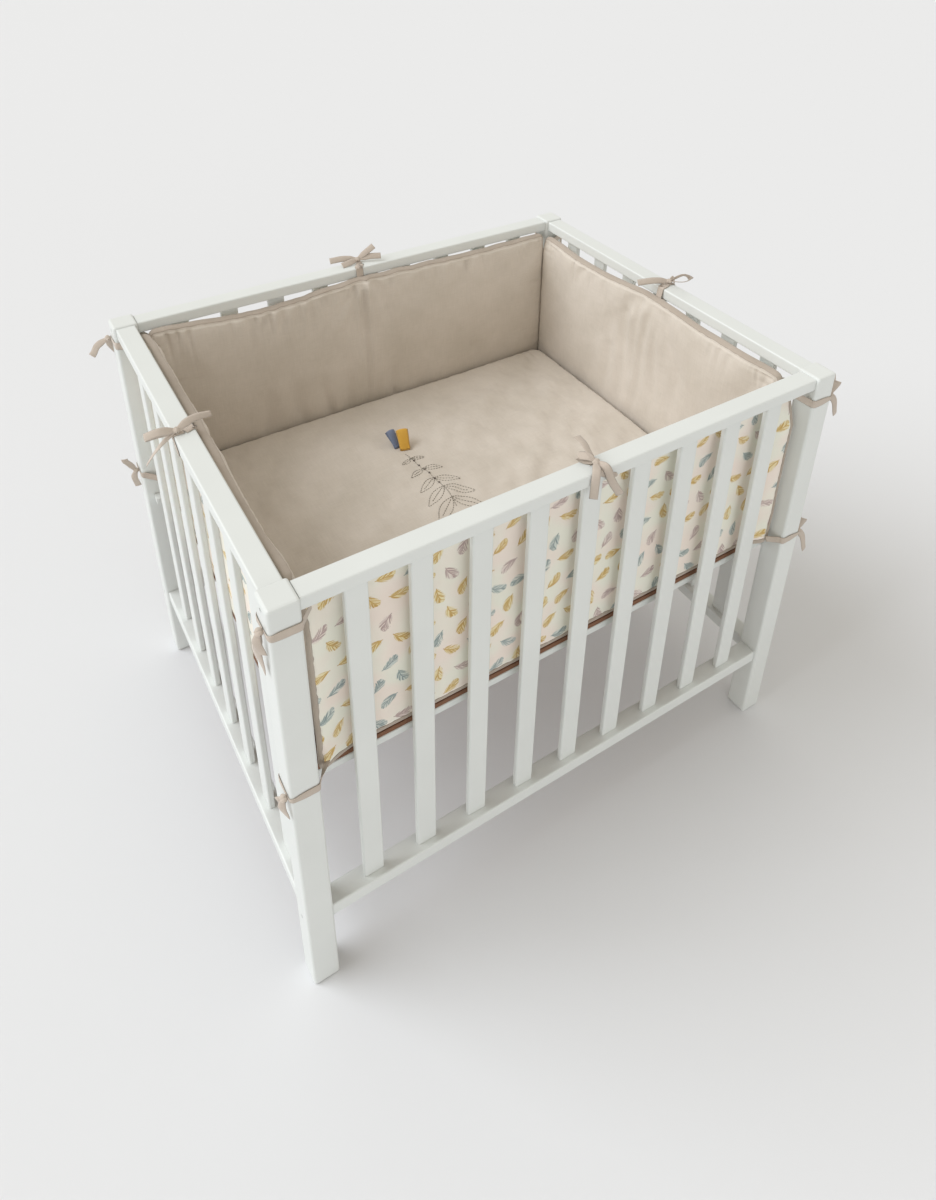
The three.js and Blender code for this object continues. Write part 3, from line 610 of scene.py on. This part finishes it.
# Ribbon tags: two short woven ribbons, blue and mustard, folded double.
# Both ends of each are sewn into the mat at the head of the sprig, and the fold stands up.
def course(points, count):
    """A smooth line of `count` points through given ones: Catmull-Rom pieces, run through evenly from piece to
    piece."""
    points = np.asarray(points, float)
    p = np.concatenate([2 * points[:1] - points[1:2], points, 2 * points[-1:] - points[-2:-1]])
    place = np.linspace(0, len(points) - 1, count)
    k = np.minimum(place.astype(int), len(points) - 2)
    t = (place - k)[:, None]
    a, b, c, d = p[k], p[k + 1], p[k + 2], p[k + 3]
    return 0.5 * (2 * b + (c - a) * t + (2 * a - 5 * b + 4 * c - d) * t ** 2
                  + (3 * b - a - 3 * c + d) * t ** 3)


def unit(vectors):
    """Vectors brought to unit length."""
    return vectors / np.maximum(np.linalg.norm(vectors, axis=-1, keepdims=True), 1e-9)


def ribbon(path, across, width, thick, roll=(0, 0), gather=(1, 1), curl=0.0, within=18 * mm):
    """A flat tape along a path of points. `across` is the direction of its width, one for all or one for each
    point, turned about the path by `roll` radians from its start to its end. `gather` narrows the width `within`
    a distance of the start and end, `curl` hollows the section, and the thickness runs out at the edges and at
    the cut ends."""
    count = len(path)
    share = np.linspace(0, 1, count)[:, None]
    along = unit(np.gradient(path, axis=0))
    across = np.broadcast_to(across, path.shape)
    across = unit(across - along * (across * along).sum(1, keepdims=True))
    normal = np.cross(along, across)
    turn = roll[0] + (roll[1] - roll[0]) * share
    across, normal = (np.cos(turn) * across + np.sin(turn) * normal,
                      np.cos(turn) * normal - np.sin(turn) * across)
    run = np.concatenate([[0], np.cumsum(np.linalg.norm(np.diff(path, axis=0), axis=1))])
    near = [np.clip(d / within, 0, 1) for d in (run, run[-1] - run)]
    narrow = np.minimum(*[g + (1 - g) * d ** 2 * (3 - 2 * d) for g, d in zip(gather, near)])
    ends = np.sqrt(np.clip(np.minimum(run, run[-1] - run) / thick, 0, 1))

    def at(u, v, face):
        k = np.round(u * (count - 1)).astype(int)
        off = (2 * v - 1) * width / 2 * narrow[k]
        hollow = curl * width * ((2 * v - 1) ** 2 - 0.4) * narrow[k]
        lift = face * thick / 2 * fullness(v, 5) * ends[k] + hollow
        points = path[k] + across[k] * off[..., None] + normal[k] * lift[..., None]
        return points, np.stack([run[k], v * width], -1)

    return sewn(at, np.linspace(0, 1, count), np.linspace(0, 1, 9))


# Where each tag stands on the mat, its tip from there, its width, all in millimetres, and its two colours.
tags = {"blue": ((-47, 152), (-5, 30, 27), 20, "66728E", "7F8AA3"),
        "mustard": ((-38, 138), (7, 29, 33), 25, "CF9A2E", "E3B453")}
for name, (foot, tip, wide, dark, light) in tags.items():
    base = np.array([*foot, 0]) * mm
    base[2] = mat_top(base[0], base[1], 1.0)
    tip = np.array(tip) * mm
    rise = unit(np.cross(tip, np.cross((0, 0, 1), tip)))
    path = course([base + (0, 0, 1.2 * mm), base + 0.5 * tip + 3 * mm * rise, base + 0.95 * tip + 3.5 * mm * rise,
                   base + tip, base + 0.95 * tip - 3 * mm * rise,
                   base + 0.5 * tip - 2 * mm * rise + (0, 0, 2 * mm), base + (0, 0, 4 * mm)], 60)
    cloth, *_ = cotton(f"{name}_ribbon", dark, light, 0.7 * mm)
    folded = ribbon(path, np.cross(tip, rise), wide * mm, 1.2 * mm, (0, 0), (0.85, 0.85), 0.07, 40 * mm)
    tag = show(f"ribbon_tag_{name}", [folded], [cloth], [f"tag_{name}"])


# Rail ties: cotton tape sewn to the middle of each panel's top edge, led up the inner face of the top rail and
# back under it, and tied over the rail in a loose bow, whose loops and free ends fall each in their own way.
tape, *_ = cotton("beige_cotton_tape", "B5A89B", "C8BCAF", 0.8 * mm)
tape_wide, tape_thick, tape_off, tape_curl = 13 * mm, 1.2 * mm, 1.1 * mm, 0.06
rail_half, rail_top, rail_base, rail_corner = 17.5 * mm, 847 * mm, 825 * mm, 3 * mm
arc = 7


def quarter(cx, cy, radius, start):
    """Points of a quarter circle, from an angle in degrees down by ninety."""
    angle = np.radians(start - np.linspace(0, 90, arc))
    return np.stack([cx + radius * np.cos(angle), cy + radius * np.sin(angle)], -1)


def knot(centre, axes, size):
    """A pulled knot in the tape: an ellipsoid of three half sizes along three axes, with two Gaussian creases
    where the turns cross."""
    def at(u, v, face):
        lon, lat = np.pi * (v - 0.5), np.pi * (u - 0.5)
        ball = np.stack([np.sin(lat), np.cos(lat) * np.sin(lon), face * np.cos(lat) * np.cos(lon)], -1)
        first, second = ball[..., :1], ball[..., 1:2]
        crease = np.exp(-((first - 0.6 * second) / 0.16) ** 2) + np.exp(-((first + 0.7) / 0.2) ** 2)
        dent = 1 - 0.16 * crease + 0.05 * np.cos(6 * second)
        return centre + (ball * dent * size) @ np.asarray(axes, float), np.stack([u, v], -1) * 20 * mm

    return sewn(at, np.linspace(0, 1, 25), np.linspace(0, 1, 25))


# Places in millimetres: along the rail, out from its middle line, up from the floor. Loops go out and come back;
# each end then has its roll, in radians from its start to its tip, off the way that all free ends turn their
# flat side. The lead comes up the inner face and the band goes back to the panel, along the rail from its middle.
flat_side = np.array((-0.4, -0.7, 0.6))
bows = {
    "front": {"knot": (1, 3, 854), "lead": 2, "band": 26.5, "ends": [
        ("tail", [(-1, -13, 864), (1, -28, 869), (2, -46, 869)], (0.9, 0.5)),
        ("tail", [(-11, 20, 854), (-16, 25, 836), (-16, 24, 806)], (0, 0.1)),
        ("tail", [(7, 20.5, 852), (15, 26, 828), (33, 28, 796)], (0.2, 0.5)),
        ("loop", [(-6, -7, 860), (-14, -19, 856), (-8, -11, 852)], (0, 0))]},
    "right": {"knot": (-13, 7, 854), "lead": -17, "band": -26.5, "ends": [
        ("tail", [(-2, -24, 859), (12, -56, 856)], (0, 0)),
        ("loop", [(-31, 25, 871), (-42, 36, 865), (-33, 27, 856)], (1.4, 1.4)),
        ("tail", [(-8, 24, 853), (-2, 33, 838), (4, 38, 812)], (0, 0.5))]},
    "back": {"knot": (3, 11, 854), "lead": 13, "band": -26.5, "ends": [
        ("tail", [(32, 20, 858), (60, 27, 856)], (0, 0)), ("tail", [(-15, 8, 867), (-33, 6, 879)], (0, 0)),
        ("tail", [(-20, 2, 859), (-43, -7, 859)], (0, 0)), ("tail", [(24, 4, 854), (43, 2, 852)], (0, 0))]},
    "left": {"knot": (3, 11, 854), "lead": -3, "band": 26.5, "ends": [
        ("loop", [(4, 37, 860), (-4, 58, 852), (-5, 36, 851)], (0, 0)),
        ("tail", [(-1, 31, 838), (-5, 47, 820), (-9, 61, 799)], (0.7, 1.1)),
        ("tail", [(6, -15, 868), (12, -43, 871)], (0.2, 0.9))]},
}
for name, bow in bows.items():
    side = sides[name]
    turn = np.radians(side["turn"])
    along_rail = np.array([np.cos(turn), np.sin(turn), 0])
    outwards = np.array([np.sin(turn), -np.cos(turn), 0])
    up = np.array([0, 0, 1.0])
    line = side["reach"] - post / 2

    def place(spots):
        """Places along the rail, out from its middle and up, in metres, as points in the pen's frame."""
        spots = np.asarray(spots, float)
        return spots[..., :1] * along_rail + (line + spots[..., 1:2]) * outwards + spots[..., 2:] * up

    centre = np.array(bow["knot"]) * mm
    radius, x = rail_corner + tape_off, rail_half - rail_corner
    lead, band = bow["lead"] * mm, bow["band"] * mm
    sewn_at = [hang(name, np.array(s), np.array(side["tall"] - 1 * mm), np.array(-3 * mm)) for s in (lead, band)]

    # Up the inner face and over its edge to the knot, then down the outer face and back under the rail.
    over = np.concatenate([quarter(-x, rail_top - rail_corner, radius, 180), [(0, rail_top + tape_off)]])
    climb = place(np.column_stack([np.append(np.full(arc, lead), centre[0]), over]))
    climb = np.concatenate([[sewn_at[0], sewn_at[0] + (climb[0] - sewn_at[0]) * 0.5], climb])
    top_out = quarter(x, rail_top - rail_corner, radius, 90)
    low_out = quarter(x, rail_base + rail_corner, radius, 0)
    drop = np.linspace(top_out[-1, 1], low_out[0, 1], 8)[1:-1]
    slope = np.concatenate([np.full(arc + 1, centre[0]), np.linspace(centre[0], band, len(drop) + 2)[1:-1],
                            np.full(arc + 1, band)])
    down = np.concatenate([[(0, rail_top + tape_off)], top_out,
                           np.column_stack([np.full(len(drop), x + radius), drop]),
                           low_out, [(-x, rail_base - tape_off)]])
    descent = np.concatenate([place(np.column_stack([slope, down])), [sewn_at[1]]])
    paths = [course(climb, 70), course(descent, 110)]
    shells = [ribbon(paths[0], along_rail, tape_wide * 1.25, tape_thick),
              ribbon(paths[1], along_rail, tape_wide * 0.9, tape_thick),
              knot(place(centre), (along_rail, outwards, up), np.array((6.5, 6, 5)) * mm)]
    for kind, spots, roll in bow["ends"]:
        loop = kind == "loop"
        spots = [centre, *(np.array(spots) * mm)] + ([centre] if loop else [])
        path = course(place(spots), 64 if loop else 48)
        way = path[len(path) // 2] - path[0]
        paths.append(path)
        shells.append(ribbon(path, np.cross(way, flat_side), tape_wide, tape_thick, roll,
                             (0.55, 0.55 if loop else 1), tape_curl))
    tie = show(f"bow_on_rail_{name}", shells, [tape], [f"rail_tie_{name}"])


# Corner ties: tape sewn to the ends of two neighbouring panels, taken round the outside of the post and knotted
# on the post's outer face, one pair near the top and one near the floor board.
post_corner, post_centre, strand_wide, near_knot = 5 * mm, np.array((492.5, 392.5)), tape_wide * 1.15, 36 * mm
at_knot = 1 + 2 * arc
# Which post, by its signs in x and y. In millimetres: the height of the tape at the one panel, round the post
# and at the other panel; the knot's place on the post's face; the tips of the free ends as (off the face, along
# it, up from the knot). Each tip ends with its roll in radians.
corner_ties = {
    "near_left_top": (-1, -1, 800, 806, 806, 4, [(6, 5, -36, 0.5), (5, -4, -76, 1.2)]),
    "near_left_foot": (-1, -1, 488, 488, 482, 12, [(5, 3, -40, 0.9), (9, -16, -26, 0.3)]),
    "near_right_top": (1, -1, 808, 799, 806, 14, [(16, 3, 26, -0.3), (34, 2, -52, -0.3), (36, -24, 20, -0.3)]),
    "near_right_foot": (1, -1, 480, 487, 482, 14, [(12, 4, 28, -0.3), (42, 2, -68, -0.3)]),
    "far_left_top": (-1, 1, 808, 812, 806, 18, [(40, 2, -30, -0.3), (-12, 16, -46, -0.3)]),
    "far_left_foot": (-1, 1, 490, 508, 490, 2, [(25, -4, 38, -0.3), (7, 6, -44, -0.3)]),
    "far_right_top": (1, 1, 806, 803, 804, 3, [(18, 4, -52, -0.3), (8, -8, -62, -0.3)]),
    "far_right_foot": (1, 1, 486, 494, 484, 2, [(8, 5, -52, -0.3), (20, -6, -38, -0.3)]),
}
for name, (sx, sy, first, middle, last, at_face, tips) in corner_ties.items():
    hub = np.array([sx, sy]) * post_centre * mm
    turn_at, round_ = post / 2 - post_corner, post_corner + tape_off
    face = post / 2 + tape_off
    inner = (1, 0) if sx * sy < 0 else (0, 1)
    neighbours = ("front" if sy < 0 else "back", "left" if sx < 0 else "right")
    roots = []
    for neighbour, which in zip(neighbours, inner):
        end, out = sides[neighbour]["ends"][which] * mm, sides[neighbour]["flare"][which] * mm
        roots.append((-(post / 2 + end + 5 * mm), -(post / 2 + seam_in - out - 5 * mm)))
    flat_path = np.concatenate([
        [roots[0]], quarter(-turn_at, turn_at, round_, 180), quarter(turn_at, turn_at, round_, 90),
        [(face, at_face * mm)], quarter(turn_at, -turn_at, round_, 0), [roots[1][::-1]]])
    run = np.concatenate([[0], np.cumsum(np.hypot(*np.diff(flat_path, axis=0).T))])
    height = np.interp(run, run[[0, 1, -2, -1]], np.array((first, middle, middle, last)) * mm)
    path = np.column_stack([hub + flat_path * (sx, sy), height])
    strands = [np.column_stack([np.interp(np.linspace(*span, 90), run, path[:, k]) for k in range(3)])
               for span in ((0, run[at_knot]), (run[at_knot], run[-1]))]
    outwards, sideways, up = np.array([sx, 0, 0]), np.array([0, sy, 0]), np.array([0, 0, 1.0])
    centre = np.array([*(hub + (sx * (face + 5.5 * mm), sy * at_face * mm)), middle * mm])
    # Between the panel and the post the tape lies flat against the post, but for one that is twisted over.
    twist = 1.8 if name == "near_left_foot" else 0
    free = np.clip(1 - np.linspace(0, run[at_knot], 90) / run[1], 0, 1)[:, None]
    flat_way = up + twist * free * np.array([1.0, 0, 0])
    shells = [ribbon(strands[0], flat_way, strand_wide, tape_thick, gather=(0.9, 0.45), within=near_knot),
              ribbon(strands[1], up, strand_wide, tape_thick, gather=(0.45, 0.9), within=near_knot),
              knot(centre, (sideways, up, outwards), np.array((7, 6, 5.5)) * mm)]
    for off, sidle, climb, roll in tips:
        tip = np.array([hub[0] + sx * (post / 2 + off * mm), hub[1] + sy * (at_face + sidle) * mm,
                        (middle + climb) * mm])
        way = tip - centre
        via = centre + 0.45 * way + outwards * (5 * mm if climb < 0 else 2 * mm) + up * 3 * mm
        late = centre + 0.8 * way + outwards * 2 * mm
        path = course([centre, via, late, tip], 48)
        strands.append(path)
        shells.append(ribbon(path, np.cross(way, flat_side), tape_wide, tape_thick, (0, roll), (0.6, 1),
                             tape_curl))
    tie = show(f"tie_on_post_{name}", shells, [tape], [f"corner_tie_{name}"])


# Stage: a wide pale studio floor, matt, with soft light from the far left, above, and a pale room all round.
# The camera stands where the photo's stood.
pale, *_ = new_material("pale_studio_floor", Base_Color=linear("E0E1E3"), Roughness=1.0)
floor_mesh = bpy.data.meshes.new("studio_floor")
floor_mesh.from_pydata([(-30, -30, 0), (30, -30, 0), (30, 30, 0), (-30, 30, 0)], [], [(0, 1, 2, 3)])
floor_mesh.materials.append(pale)
floor = bpy.data.objects.new("studio_floor", floor_mesh)
bpy.context.scene.collection.objects.link(floor)

# The room lights the pen warmly and is itself seen as plain white.
world = bpy.data.worlds.new("studio")
bpy.context.scene.world = world
world.use_nodes = True
tree = world.node_tree
seen = add(tree, "LightPath")["Is Camera Ray"]
glow = add(tree, "MapRange", {"Value": seen, "To Min": 0.66, "To Max": 0.83})["Result"]
tree.links.new(glow, tree.nodes["Background"].inputs["Strength"])
tint = add(tree, "Mix", {0: seen, 6: (1.03, 0.985, 0.9, 1), 7: (1, 1, 1, 1)}, data_type="RGBA")[2]
tree.links.new(tint, tree.nodes["Background"].inputs["Color"])

# The key comes over the far left corner, and a weak low fill from the front lights the outside of the pen.
for name, energy, angle, colour, direction in (
        ("soft_key", 2.05, 0.85, (0.96, 1.0, 1.06), (0.685, -0.326, -0.652)),
        ("front_fill", 0.56, 0.7, (0.95, 1.0, 1.09), (0.15, 1.0, -0.08))):
    lamp = bpy.data.lights.new(name, "SUN")
    lamp.energy, lamp.angle, lamp.color = energy, angle, colour
    light = bpy.data.objects.new(name, lamp)
    light.rotation_euler = Vector(direction).to_track_quat("-Z", "Y").to_euler()
    bpy.context.scene.collection.objects.link(light)

lens = bpy.data.cameras.new("photo")
lens.sensor_width, lens.lens = 36, 27.098
lens.shift_y = -0.25
camera = bpy.data.objects.new("photo", lens)
camera.location = (-0.7215, -1.1912, 1.6905)
camera.rotation_euler = (1.07726, -0.01032, -0.55313)
bpy.context.scene.collection.objects.link(camera)
bpy.context.scene.camera = camera
bpy.context.scene.view_settings.view_transform = "Standard"
